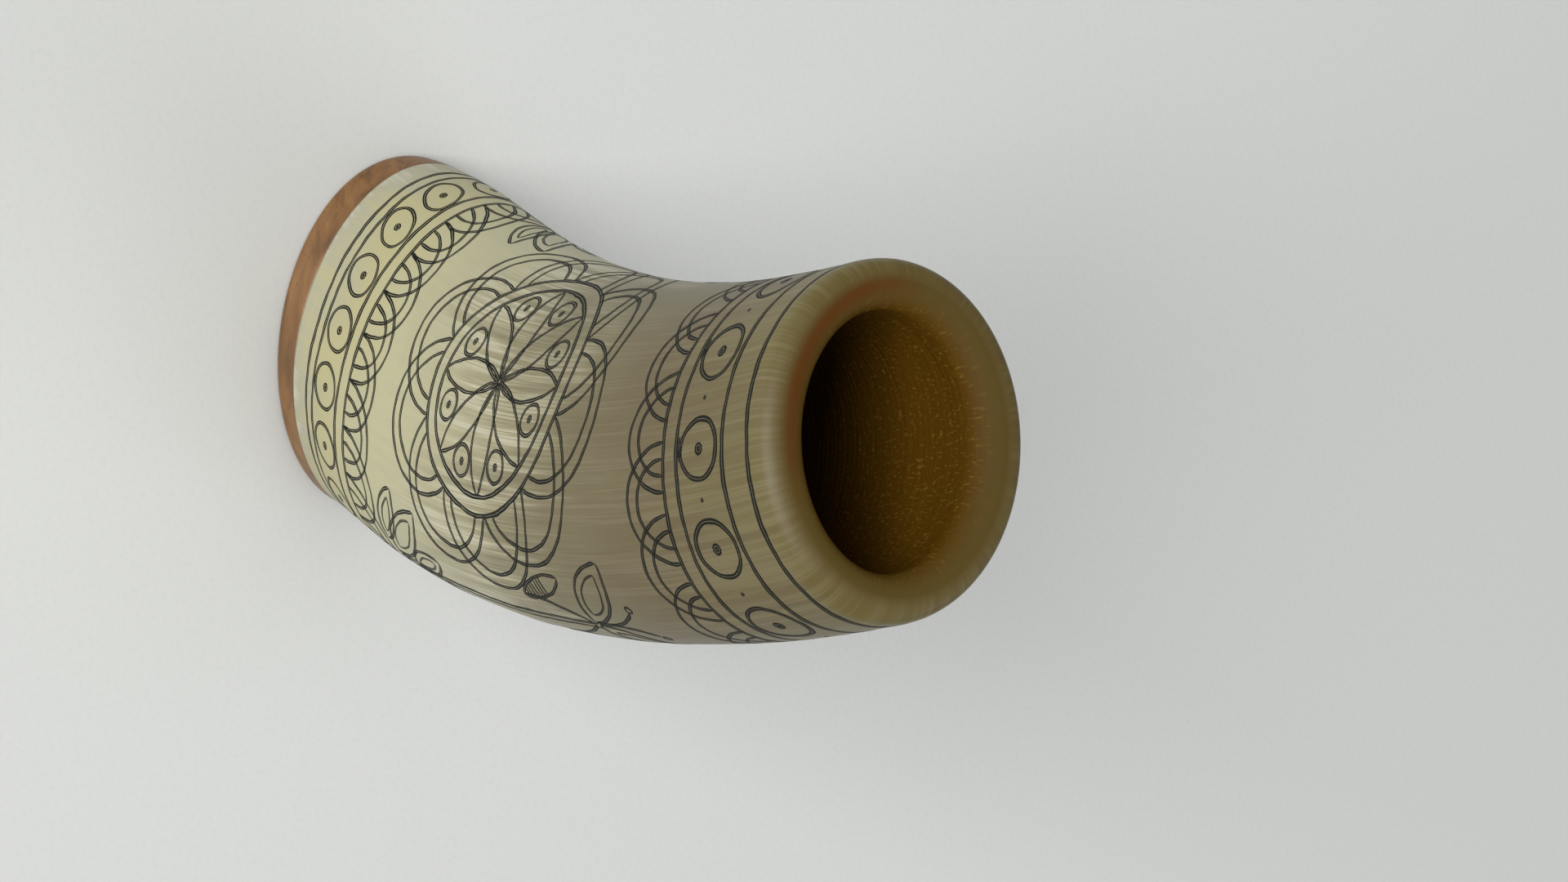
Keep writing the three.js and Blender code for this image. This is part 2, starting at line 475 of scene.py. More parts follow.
@dataclass
class Engraving:
    """Strokes cut into the horn and filled with pigment, gathered piece by piece."""

    unrolled: UnrolledHorn
    pigment: bpy.types.Material
    seed: int = 7
    shoulder_height: float = 0.035
    valley_height: float = -0.005
    root_depth: float = 0.06
    unsteadiness: float = 0.16
    width_play: float = 0.22
    taper: float = 1.2
    strokes: list[Stroke] = field(default_factory=list)

    def __post_init__(self) -> None:
        """Start the hand's small random errors from a fixed seed."""
        self.random = np.random.default_rng(self.seed)

    def cut(self, path: Array, width: Cut | float, lap: float | None = None) -> None:
        """Add one stroke."""
        self.strokes.append(Stroke(path, width.value if isinstance(width, Cut) else width, lap))

    def slow_noise(self, lengths: Array, total: float, closed: bool) -> Array:
        """A slow random wave along a stroke: three sines with random phases, near -1 to 1.

        Args:
            lengths: arc length at each point.
            total: the stroke's whole length.
            closed: whether the waves have to meet at the ends.

        Returns:
            The wave at each point.
        """
        waves = np.array([total / 23, total / 9, total / 3.7])
        waves = np.maximum(1, np.round(waves)) if closed else waves
        phases = self.random.uniform(0, 2 * np.pi, 3)
        angles = 2 * np.pi * lengths[:, None] / total * waves + phases
        return np.sin(angles) @ np.array([0.5, 0.3, 0.2])

    def groove(self, stroke: Stroke) -> tuple[Array, Array, Array]:
        """Carry the cut's profile along a stroke.

        The profile has five points: two roots under the horn's face, two shoulders just proud of
        it and the sunken middle between them. It stands on the surface's normal, and the side
        direction is the cross product of the normal and the path's direction.

        Args:
            stroke: the cut.

        Returns:
            Points in millimetres, quads, and the five-sided caps of a stroke with two ends.
        """
        closed = stroke.lap is not None
        path = evened(stroke.path, stroke.lap)
        lengths = np.concatenate([[0], np.cumsum(np.hypot(*np.diff(path, axis=0).T))])
        total = lengths[-1] * len(path) / (len(path) - 1) if closed else lengths[-1]
        t, angle = self.unrolled.place(path[:, 0], path[:, 1])
        points = self.unrolled.form.point(t, angle)
        normals = self.unrolled.form.normal(t, angle)
        if closed:
            direction = np.roll(points, -1, axis=0) - np.roll(points, 1, axis=0)
        else:
            direction = np.gradient(points, axis=0)
        side = np.cross(normals, direction)
        side /= np.linalg.norm(side, axis=1, keepdims=True)
        points = points + self.unsteadiness * self.slow_noise(lengths, total, closed)[:, None] * side
        widths = stroke.width * (1 + self.width_play * self.slow_noise(lengths, total, closed))
        if not closed:
            lift = np.minimum(lengths, total - lengths) / (self.taper * stroke.width)
            widths = widths * np.clip(lift, 0.12, 1) ** 0.6
        profile_side = np.array([-0.5, -0.4, 0.0, 0.4, 0.5])
        root, shoulder = -self.root_depth, self.shoulder_height
        profile_height = np.array([root, shoulder, self.valley_height, shoulder, root])
        section = (
            points[:, None]
            + widths[:, None, None] * profile_side[None, :, None] * side[:, None]
            + profile_height[None, :, None] * normals[:, None]
        )
        count = len(profile_side)
        quads = grid_faces(len(path), count, closed)[:, ::-1]
        first_cap = np.arange(count)
        last_cap = (len(path) - 1) * count + first_cap[::-1]
        caps = np.empty((0, count), int) if closed else np.stack([first_cap, last_cap])
        return section.reshape(-1, 3), quads, caps

    def finish(self, name: str) -> bpy.types.Object:
        """Make one piece of the strokes gathered so far, and start again with none.

        Args:
            name: the piece's name.

        Returns:
            The piece, declared to ride on the cup.
        """
        points, faces, first = [], [], 0
        for stroke in self.strokes:
            stroke_points, quads, caps = self.groove(stroke)
            points.append(stroke_points)
            faces += (first + quads).tolist() + (first + caps).tolist()
            first += len(stroke_points)
        self.strokes.clear()
        return declare(make_piece(name, np.vstack(points), faces, self.pigment), "horn")


@dataclass
class RingMarks:
    """A band of dotted circles, as a two-pronged centre drill leaves them.

    Some circles have pigment smeared beside them at a height, and specks can stand between them.
    """

    up: float
    count: int
    radius: float
    dot_radius: float
    first: float
    smeared: tuple[int, ...] = ()
    smear_up: float = 0.0
    between: float = 0.0
    width: Cut = Cut.LINE

    def cut(self, engraving: Engraving) -> None:
        """Cut the circles and their dots, then the specks and smears.

        Args:
            engraving: where the strokes go.
        """
        pitch = engraving.unrolled.girth(self.up) / self.count
        for index in range(self.count):
            centre = (self.first + index * pitch, self.up + 0.25 * np.sin(2.4 * index))
            dotted_circle(engraving, centre, self.radius, self.dot_radius, width=self.width)
            if self.between:
                speck = arc((centre[0] + pitch / 2, self.up), (0.2, 0.2), 0, 300)
                engraving.cut(speck, self.between, lap=0)
            if index in self.smeared:
                start, end = (centre[0] - 2.4, self.smear_up), (centre[0] + 1.6, self.smear_up + 0.2)
                engraving.cut(bow(start, end, -0.25), 1.3)


def dotted_circle(
    engraving: Engraving,
    centre: Place,
    radius: float,
    dot_radius: float,
    stretch: float = 1.0,
    width: Cut = Cut.LINE,
) -> None:
    """Cut a circle and the round pit at its centre.

    Args:
        engraving: where the strokes go.
        centre: the circle's place on the drawing.
        radius: the circle's radius.
        dot_radius: the pit's radius.
        stretch: the share by which heights on the drawing are drawn larger.
        width: the circle's graver.
    """
    engraving.cut(arc(centre, (radius, radius * stretch), 0, 357), width, lap=0)
    engraving.cut(arc(centre, (dot_radius / 2, dot_radius / 2 * stretch), 0, 340), dot_radius, lap=0)


@dataclass
class ScallopBand:
    """Interlaced double half circles that stand on a line, each over half of the next one."""

    up: float
    reach: float
    half_width: float
    gap: float
    count: int
    first: float

    def cut(self, engraving: Engraving) -> None:
        """Cut each scallop as an outer and an inner half ellipse on the line.

        The reach is the height of the outer one, and is negative where the band hangs down.

        Args:
            engraving: where the strokes go.
        """
        pitch = engraving.unrolled.girth(self.up) / self.count
        way = 180 if self.reach > 0 else -180
        for index in range(self.count):
            centre = (self.first + index * pitch, self.up)
            height = abs(self.reach) * (1 + 0.03 * np.sin(1.7 * index))
            engraving.cut(arc(centre, (self.half_width, height), 0, way), Cut.LINE)
            engraving.cut(arc(centre, (self.half_width - self.gap, height - self.gap), 0, way), Cut.LINE)


@dataclass
class RingLine:
    """A line right round the horn."""

    up: float
    width: Cut

    def cut(self, engraving: Engraving) -> None:
        """Cut the line once round the section.

        Args:
            engraving: where the stroke goes.
        """
        girth = engraving.unrolled.girth(self.up)
        around = np.linspace(0, girth, 400, endpoint=False)
        engraving.cut(np.column_stack([around, 0 * around + self.up]), self.width, lap=girth)


@dataclass
class Rosette:
    """A compass-drawn rosette: petals and ring marks in a double ring, with scallops round it."""

    around: float
    up: float
    stretch: float = 1.0
    ring_radius: float = 24.1
    ring_gap: float = 3.3
    petals: int = 8
    petal_width: float = 6.4
    petal_turn: float = 2.0
    mark_radius: float = 2.85
    mark_ring: float = 16.4
    scallops: int = 10
    scallop_radius: float = 14.5
    scallop_gap: float = 2.8
    scallop_turn: float = 7.0

    def spot(self, radius: float, degrees: float) -> Place:
        """A place at a radius and an angle from the rosette's centre."""
        angle = np.radians(degrees)
        return (self.around + radius * np.cos(angle), self.up + self.stretch * radius * np.sin(angle))

    def cut(self, engraving: Engraving) -> None:
        """Cut the double ring, then the petals and marks inside it, then the scallops outside.

        Args:
            engraving: where the strokes go.
        """
        middle = (self.around, self.up)
        for radius in (self.ring_radius, self.ring_radius - self.ring_gap):
            engraving.cut(arc(middle, (radius, radius * self.stretch), 0, 359), Cut.BOLD, lap=0)
        self.cut_petals(engraving)
        for index in range(self.scallops):
            self.cut_scallop(engraving, self.scallop_turn + index * 360 / self.scallops)

    def cut_petals(self, engraving: Engraving) -> None:
        """Cut each petal as two bows from the centre to the inner ring, and a mark beside it.

        Args:
            engraving: where the strokes go.
        """
        pitch = 360 / self.petals
        for index in range(self.petals):
            degrees = self.petal_turn + index * pitch
            tip = self.spot(self.ring_radius - self.ring_gap - 0.3, degrees)
            for sign in (-1, 1):
                engraving.cut(bow(self.spot(0.3, degrees), tip, sign * self.petal_width / 2), Cut.LINE)
            mark = self.spot(self.mark_ring, degrees + pitch / 2)
            dotted_circle(engraving, mark, self.mark_radius, 0.9, self.stretch)

    def cut_scallop(self, engraving: Engraving, degrees: float) -> None:
        """Cut one double arc: the part outside the ring of two circles centred near the ring.

        A circle of radius r centred at distance d from the middle leaves a ring of radius R at the
        angle from its outward direction whose cosine is (R R - d d - r r) / (2 d r).

        Args:
            engraving: where the strokes go.
            degrees: the scallop's direction.
        """
        distance = self.ring_radius - 1.1
        for radius in (self.scallop_radius, self.scallop_radius - self.scallop_gap):
            cosine = (self.ring_radius**2 - distance**2 - radius**2) / (2 * distance * radius)
            half = np.degrees(np.arccos(cosine))
            turns = np.radians(degrees + np.linspace(-half, half, 90))
            centre = self.spot(distance, degrees)
            path = np.column_stack(
                [centre[0] + radius * np.cos(turns), centre[1] + self.stretch * radius * np.sin(turns)]
            )
            engraving.cut(path, Cut.LINE)


@dataclass
class LeafSpray:
    """A stem with pairs of leaves and buds that fills the space between two rosettes.

    Places are offsets from the stem's foot line: across from it, and up on the drawing.
    """

    around: float
    foot: float = 41.0
    top: float = 121.5
    leaves: tuple[Leaf, ...] = (
        ((3.0, 40.8), (16.0, 48.8), 5.6),
        ((0.4, 42.0), (13.8, 58.3), 7.0),
        ((0.2, 49.0), (5.2, 62.5), 5.4),
        ((0.6, 108.5), (13.4, 120.0), 7.6),
    )
    buds: tuple[Leaf, ...] = (((5.4, 92.5), (9.8, 106.0), 4.0),)

    def cut(self, engraving: Engraving) -> None:
        """Cut the stem, and each leaf, bud and curl on both of its sides.

        Args:
            engraving: where the strokes go.
        """
        stem = bow((self.around, self.foot), (self.around, self.top - 13), 0.8)
        engraving.cut(stem, Cut.LINE)
        engraving.cut(stem + np.array([1.3, 0.0]), Cut.FINE)
        for sign in (-1, 1):
            for foot, tip, width in self.leaves:
                self.cut_leaf(engraving, sign, foot, tip, width)
            for foot, tip, width in self.buds:
                self.cut_bud(engraving, sign, foot, tip, width)
            fork, tip = self.side(sign, (0.4, self.top - 13)), self.side(sign, (3.6, self.top))
            engraving.cut(bow(fork, tip, sign * 1.6), Cut.LINE)
            berry = arc(self.side(sign, (4.3, self.top + 0.6)), (0.7, 0.7), 0, 350)
            engraving.cut(berry, Cut.FINE, lap=0)

    def side(self, sign: int, place: Place) -> Place:
        """A place on one side of the stem."""
        return (self.around + sign * place[0], place[1])

    def cut_leaf(self, engraving: Engraving, sign: int, foot: Place, tip: Place, width: float) -> None:
        """Cut a leaf as two bows, and a smaller leaf inside it.

        Args:
            engraving: where the strokes go.
            sign: 1 for one side of the stem and -1 for the other.
            foot: where the leaf grows from the stem.
            tip: its point.
            width: how wide it is at its middle.
        """
        foot_at, tip_at = np.array(self.side(sign, foot)), np.array(self.side(sign, tip))
        inner_foot, inner_tip = foot_at + 0.16 * (tip_at - foot_at), foot_at + 0.82 * (tip_at - foot_at)
        for bend in (-1, 1):
            engraving.cut(bow(foot_at, tip_at, bend * width / 2), Cut.LINE)
            engraving.cut(bow(inner_foot, inner_tip, bend * (width / 2 - 1.5)), Cut.FINE)

    def cut_bud(self, engraving: Engraving, sign: int, foot: Place, tip: Place, width: float) -> None:
        """Cut a bud as two bows with short hatches across its lower half, and its stalk.

        Args:
            engraving: where the strokes go.
            sign: 1 for one side of the stem and -1 for the other.
            foot: where the bud sits on its stalk.
            tip: its point.
            width: how wide it is at its middle.
        """
        foot_at, tip_at = np.array(self.side(sign, foot)), np.array(self.side(sign, tip))
        axis = tip_at - foot_at
        left = np.array([-axis[1], axis[0]]) / np.hypot(*axis)
        for bend in (-1, 1):
            engraving.cut(bow(foot_at, tip_at, bend * width / 2), Cut.LINE)
        for share in np.linspace(0.1, 0.55, 7):
            half = width / 2 * (4 * share * (1 - share)) ** 0.8
            middle = foot_at + share * axis
            engraving.cut(bow(middle - half * left, middle + (half * left + 0.05 * axis), 0.1), Cut.FINE)
        engraving.cut(bow(foot_at, self.side(sign, (0.4, self.top - 14)), sign * -1.2), Cut.LINE)


# ---- Finishes --------------------------------------------------------------------------------


class Shading:
    """A material's node tree, with a method for each kind of node that the finishes use."""

    def __init__(self, name: str) -> None:
        """Start an empty material.

        Args:
            name: what the material is and how its surface was made.
        """
        self.material = bpy.data.materials.new(name)
        self.material.use_nodes = True
        self.tree = self.material.node_tree
        self.tree.nodes.clear()

    @property
    def place(self) -> Socket:
        """The place on the piece, in metres."""
        return add_node(self.tree, "ShaderNodeTexCoord").outputs["Object"]

    def attribute(self, name: str) -> Socket:
        """A vector attribute of the mesh."""
        return add_node(self.tree, "ShaderNodeAttribute", attribute_name=name).outputs["Vector"]

    def noise(self, place: Socket, scale: Scale, detail: float = 2.0, distortion: float = 0.0) -> Socket:
        """Cloudy noise from 0 to 1.

        Args:
            place: where it is read.
            scale: cells for each unit of the place, for all three directions or for each.
            detail: how many finer layers are added.
            distortion: how much the cells are bent.

        Returns:
            The noise's output.
        """
        factors = (scale,) * 3 if isinstance(scale, float) else scale
        spread = add_node(self.tree, "ShaderNodeVectorMath", {0: place, 1: factors}, operation="MULTIPLY")
        values = {"Vector": spread.outputs[0], "Scale": 1.0, "Detail": detail, "Distortion": distortion}
        return add_node(self.tree, "ShaderNodeTexNoise", values).outputs["Fac"]

    def maths(self, operation: str, *values: Socket | float) -> Socket:
        """The result of a Math node."""
        inputs = dict(enumerate(values))
        return add_node(self.tree, "ShaderNodeMath", inputs, operation=operation).outputs[0]

    def ranged(
        self, value: Socket, low: float, high: float, first: float = 0.0, last: float = 1.0
    ) -> Socket:
        """Carry a value from the range low to high over to first to last, and stop at the ends."""
        inputs = {0: value, 1: low, 2: high, 3: first, 4: last}
        return add_node(self.tree, "ShaderNodeMapRange", inputs).outputs[0]

    def mixed(self, share: Socket, under: Socket, over: Socket | str) -> Socket:
        """Lay a colour over another by a share from 0 to 1.

        Args:
            share: how much of the upper colour shows.
            under: the lower colour.
            over: the upper colour, or its hex digits.

        Returns:
            The mixed colour's output.
        """
        values = {0: share, 6: under, 7: linear(over) if isinstance(over, str) else over}
        return add_node(self.tree, "ShaderNodeMix", values, data_type="RGBA").outputs[2]

    def ramp(self, value: Socket, stops: Stops) -> Socket:
        """Turn a value from 0 to 1 into a colour between stops."""
        return add_node(self.tree, "ShaderNodeValToRGB", {0: value}, stops=stops).outputs[0]

    def bump(self, height: Socket, depth: float, strength: float, under: Socket | None = None) -> Socket:
        """Tilt the surface by a height.

        Args:
            height: the relief, from 0 to 1.
            depth: how deep the relief is, in metres.
            strength: how much of it shows.
            under: a coarser relief below this one.

        Returns:
            The tilted normal's output.
        """
        values = {"Height": height, "Distance": depth, "Strength": strength}
        if under is not None:
            values["Normal"] = under
        return add_node(self.tree, "ShaderNodeBump", values).outputs[0]

    def finished(self, **values: object) -> bpy.types.Material:
        """Join the surface shader to the output.

        Args:
            values: the shader's inputs, with an underscore for each space.

        Returns:
            The finished material.
        """
        inputs = {name.replace("_", " "): value for name, value in values.items()}
        shader = add_node(self.tree, "ShaderNodeBsdfPrincipled", inputs)
        add_node(self.tree, "ShaderNodeOutputMaterial", {0: shader.outputs[0]})
        return self.material


@dataclass(frozen=True)
class PolishedHorn:
    """Cattle horn, scraped, sanded and polished.

    Horn is keratin laid in fibres along its length: translucent, cream where it is thin and near
    the skull and brown towards the tip, with pale streaks a fraction of a millimetre wide. The
    bore is rasped, so it is duller, and years of drinks have stained it amber. The bore's amber
    is also painted lighter, the deep part most, as painted light for the light that shines in
    through the translucent wall.
    """

    outer_stops: Stops = (
        (0.06, "c4c0ac"), (0.11, "b0ac93"), (0.24, "bcb486"), (0.4, "bcb792"), (0.56, "b0a986"),
        (0.67, "8f8664"), (0.77, "6c6240"), (0.88, "625332"), (1.0, "665a2c"),
    )
    streak_colour: str = "c8c3a8"
    dark_streak_colour: str = "443a26"
    lip_colour: str = "53431c"
    stain_colour: str = "55330c"
    fleck_colour: str = "866a24"
    # The bore's stops are a real amber stain, lightened as painted light, the deep end most, for light
    # through the translucent wall.
    bore_stain_and_painted_light_stops: Stops = ((0.0, "63350c"), (0.4, "603a08"), (0.75, "5c3c07"), (1.0, "523705"))
    roughness: float = 0.36
    bore_roughness: float = 0.55
    ior: float = 1.54

    def material(self) -> bpy.types.Material:
        """Build the finish from the mesh's grain and zone attributes.

        The grain is (cos, sin) of the angle times 30 mm and the height in millimetres. The zone is
        the station, the share of the way from the outside over the lip to the bore, and the
        angle's cosine from the stained side.

        Returns:
            The material.
        """
        shading = Shading("cattle_horn_polished")
        grain = shading.attribute("grain")
        parts = add_node(shading.tree, "ShaderNodeSeparateXYZ", {0: shading.attribute("zone")})
        station, inward, stained = parts.outputs
        # Cells for each millimetre: clouds of 20 mm, streaks of 1.5 mm and fibres of 0.35 mm along
        # the horn, rasp rings of 0.5 mm round the bore, and flecks of 0.6 mm.
        cloud = shading.noise(grain, (0.05, 0.05, 0.035), 3.0)
        streak = shading.noise(grain, (0.65, 0.65, 0.022), 4.0)
        fibre = shading.noise(grain, (2.8, 2.8, 0.05), 3.0)
        rasp = shading.noise(grain, (0.02, 0.02, 1.9), 3.0)
        fleck = shading.noise(grain, 1.6)
        lip = shading.ranged(inward, 0.1, 0.45)
        inside = shading.ranged(inward, 0.52, 0.85)
        outer = self.outer_colour(shading, station, cloud, streak, fibre)
        outer = shading.mixed(lip, outer, self.lip_colour)
        # The stain follows the inner edge and fades away from its side in cloudy patches.
        edge = shading.ranged(shading.maths("ABSOLUTE", shading.maths("SUBTRACT", inward, 0.5)), 0.16, 0.03)
        patches = shading.ranged(shading.maths("MULTIPLY_ADD", cloud, 0.8, stained), 0.75, 1.25)
        outer = shading.mixed(shading.maths("MULTIPLY", edge, patches), outer, self.stain_colour)
        bore = self.bore_colour(shading, station, cloud, rasp, fleck)
        roughness = shading.ranged(lip, 0.0, 1.0, self.roughness, self.bore_roughness)
        # Relief: fibres 0.02 mm deep outside, and rasp rings 0.3 mm deep in the bore.
        relief = shading.bump(fibre, 0.00002, 0.35)
        relief = shading.bump(shading.maths("MULTIPLY", rasp, inside), 0.0003, 0.8, relief)
        return shading.finished(
            Base_Color=shading.mixed(inside, outer, bore),
            Roughness=shading.maths("MULTIPLY_ADD", fibre, 0.12, roughness),
            IOR=self.ior,
            Specular_IOR_Level=shading.ranged(lip, 0.0, 1.0, 0.5, 0.08),
            Subsurface_Weight=0.08,
            Subsurface_Radius=(1.0, 0.7, 0.35),
            Subsurface_Scale=0.002,
            Normal=relief,
        )

    def outer_colour(
        self, shading: Shading, station: Socket, cloud: Socket, streak: Socket, fibre: Socket
    ) -> Socket:
        """Colour the outer face: cream to brown by the station, with streaks where they mix.

        Args:
            shading: the material.
            station: the station from 0 to 1.
            cloud: wide noise, which shifts the change of colour.
            streak: long noise, which frays it.
            fibre: fine long noise.

        Returns:
            The colour's output.
        """
        drift = shading.maths("MULTIPLY_ADD", cloud, 0.3, -0.27)
        drift = shading.maths("MULTIPLY_ADD", streak, 0.24, drift)
        shifted = shading.maths("ADD", station, drift)
        colour = shading.ramp(shifted, self.outer_stops)
        # Streaks show from half way up and fade again towards the mouth.
        rising = shading.ranged(shifted, 0.46, 0.62, 0.0, 0.8)
        zone = shading.maths("MULTIPLY", rising, shading.ranged(shifted, 0.66, 0.78, 1.0, 0.1))
        clumped = shading.maths("MULTIPLY_ADD", streak, 0.5, shading.maths("MULTIPLY", fibre, 0.5))
        pale = shading.maths("MULTIPLY", shading.ranged(clumped, 0.48, 0.58), zone)
        colour = shading.mixed(pale, colour, self.streak_colour)
        dark = shading.maths("MULTIPLY", shading.ranged(streak, 0.48, 0.34, 0.0, 0.6), zone)
        return shading.mixed(dark, colour, self.dark_streak_colour)

    def bore_colour(
        self, shading: Shading, station: Socket, cloud: Socket, rasp: Socket, fleck: Socket
    ) -> Socket:
        """Colour the bore by a ramp up its length, with rings from the rasp and pale flecks.

        The ramp is a real amber stain, and its deeper stops are also lightened as painted light,
        for the light that shines in through the translucent wall.

        Args:
            shading: the material.
            station: the station from 0 to 1.
            cloud: wide noise.
            rasp: noise in rings.
            fleck: small noise.

        Returns:
            The colour's output.
        """
        depth = shading.maths("MULTIPLY_ADD", rasp, 0.16, station)
        depth = shading.maths("MULTIPLY_ADD", cloud, 0.2, depth)
        # The ramp's low end is the bore's deep part, painted lighter as painted light through the wall.
        colour = shading.ramp(shading.maths("SUBTRACT", depth, 0.18), self.bore_stain_and_painted_light_stops)
        return shading.mixed(shading.ranged(fleck, 0.58, 0.7, 0.0, 0.5), colour, self.fleck_colour)


@dataclass(frozen=True)
class EngravingPigment:
    """Lampblack rubbed into the cuts with oil: matt, not quite black, and worn thin in places."""

    colour: str = "0c0e09"
    worn_colour: str = "24231a"
    roughness: float = 0.6

    def material(self) -> bpy.types.Material:
        """Build the finish: worn patches of 2 to 4 mm and grit of 0.2 mm.

        Returns:
            The material.
        """
        shading = Shading("lampblack_rubbed_into_cuts")
        worn = shading.ranged(shading.noise(shading.place, 380.0, 3.0), 0.5, 0.75)
        black = shading.ramp(worn, ((0.0, self.colour), (1.0, self.worn_colour)))
        grit = shading.noise(shading.place, 5000.0, 1.0)
        return shading.finished(
            Base_Color=black,
            Roughness=self.roughness,
            Specular_IOR_Level=0.2,
            Normal=shading.bump(grit, 0.00003, 0.3),
        )


@dataclass(frozen=True)
class OiledHardwood:
    """A reddish hardwood, sawn from a plank, sanded and oiled.

    It has growth bands 3 mm apart along the slab's length, fine dark pores under a millimetre
    long, and a soft satin gloss.
    """

    stops: Stops = ((0.3, "664726"), (0.5, "825a30"), (0.72, "936c3c"))
    pore_colour: str = "5c3f22"
    grain_turn: float = -24.0
    roughness: float = 0.36

    def material(self) -> bpy.types.Material:
        """Build the finish with its grain turned to the slab's length.

        Returns:
            The material.
        """
        shading = Shading("hardwood_sanded_and_oiled")
        turn = {"Vector": shading.place, "Rotation": (0.05, 0.03, np.radians(-self.grain_turn))}
        turned = add_node(shading.tree, "ShaderNodeMapping", turn).outputs[0]
        # Cells for each metre: bands 3 mm wide and pores 0.25 mm wide, both ten times as long.
        bands = shading.noise(turned, (34.0, 330.0, 330.0), 4.0, 0.6)
        pore = shading.ranged(shading.noise(turned, (420.0, 4200.0, 4200.0), 1.0), 0.6, 0.72, 0.0, 0.7)
        return shading.finished(
            Base_Color=shading.mixed(pore, shading.ramp(bands, self.stops), self.pore_colour),
            Roughness=shading.maths("MULTIPLY_ADD", bands, 0.15, self.roughness),
            Coat_Weight=0.2,
            Coat_Roughness=0.25,
            Normal=shading.bump(shading.maths("SUBTRACT", 1.0, pore), 0.00006, 0.5),
        )


@dataclass(frozen=True)
class AmberResin:
    """Resin poured or pressed while soft: clear amber with a glossy skin and faint swirls."""

    name: str
    stops: Stops
    roughness: float

    def material(self) -> bpy.types.Material:
        """Build the finish with swirls about 5 mm across.

        Returns:
            The material.
        """
        shading = Shading(self.name)
        swirl = shading.noise(shading.place, 200.0, 2.0, 1.5)
        return shading.finished(
            Base_Color=shading.ramp(swirl, self.stops),
            Roughness=self.roughness,
            IOR=1.52,
            Normal=shading.bump(swirl, 0.0001, 0.2),
        )


@dataclass(frozen=True)
class MattLaminate:
    """The table top: white laminate with a fine matt grain."""

    colour: str = "dfe0dc"

    def material(self) -> bpy.types.Material:
        """Build the finish with a grain of 1 mm, which also mottles the white a little.

        Returns:
            The material.
        """
        shading = Shading("laminate_matt_white")
        mottle = shading.noise(shading.place, 900.0)
        return shading.finished(
            Base_Color=shading.ramp(mottle, ((0.3, "dcddd9"), (0.5, self.colour))),
            Roughness=0.55,
            Normal=shading.bump(mottle, 0.0001, 0.1),
        )


# ---- The pieces ------------------------------------------------------------------------------


@dataclass
class HornBody:
    """The horn: its outer face, its rounded lip and its bore, as one closed ring of loops."""

    form: HornForm
    columns: int = 256
    outer_rows: int = 170
    lip_rows: int = 12
    bore_rows: int = 90
    stain_angle: float = 3.6

    def profile(self) -> tuple[Array, Array, Array]:
        """The loops in order: up the outside, over the lip and down the bore.

        The lip's quarter circles are inset = r (1 - cos) and depth = r (1 - sin) outside, and the
        same mirrored inside.

        Returns:
            For each loop its station, its inset and its share of the way from outside to bore.
        """
        form = self.form
        quarter = np.linspace(0, np.pi / 2, self.lip_rows + 1)[1:]
        foot = form.station_at_height(form.slab_thickness + form.clearance)
        outer = np.linspace(foot, form.station_below_mouth(form.lip_outer_radius), self.outer_rows)
        outer_lip = form.station_below_mouth(form.lip_outer_radius * (1 - np.sin(quarter)))
        inner_lip = form.station_below_mouth(form.lip_inner_radius * (1 - np.cos(quarter)))
        bore = np.linspace(inner_lip[-1], foot, self.bore_rows)[1:]
        insets = [
            0 * outer,
            form.lip_outer_radius * (1 - np.cos(quarter)),
            form.wall_at_mouth - form.lip_inner_radius * (1 - np.sin(np.append(0, quarter))),
            form.wall(bore),
        ]
        inner_share = np.linspace(0.45, 0.9, self.lip_rows + 1)
        inward = [0 * outer, 0.4 * quarter / quarter[-1], inner_share, 0 * bore + 1]
        stations = np.concatenate([outer, outer_lip, [1.0], inner_lip, bore])
        return stations, np.concatenate(insets), np.concatenate(inward)

    def build(self, finish: PolishedHorn) -> bpy.types.Object:
        """Loft the loops, close the ring at the foot and record where each vertex is.

        Args:
            finish: the horn's finish.

        Returns:
            The piece that stands for the CAD horn.
        """
        stations, insets, inward = self.profile()
        angles = np.linspace(0, 2 * np.pi, self.columns, endpoint=False)
        points = self.form.point(stations[:, None], angles[None, :], insets[:, None])
        shape = (len(stations), self.columns)
        rounds = np.broadcast_to(angles, shape)
        heights = np.broadcast_to(stations[:, None] * self.form.mouth_centre[2], shape)
        grain = np.stack([30 * np.cos(rounds), 30 * np.sin(rounds), heights], axis=-1)
        zone = np.stack(
            [
                np.broadcast_to(stations[:, None], shape),
                np.broadcast_to(inward[:, None], shape),
                np.cos(rounds - self.stain_angle),
            ],
            axis=-1,
        )
        faces = grid_faces(len(stations), self.columns, ring=True).tolist()
        vectors = {"grain": grain.reshape(-1, 3), "zone": zone.reshape(-1, 3)}
        piece = make_piece("horn_surface", points.reshape(-1, 3), faces, finish.material(), vectors)
        return declare(piece, "horn", "horn_body")


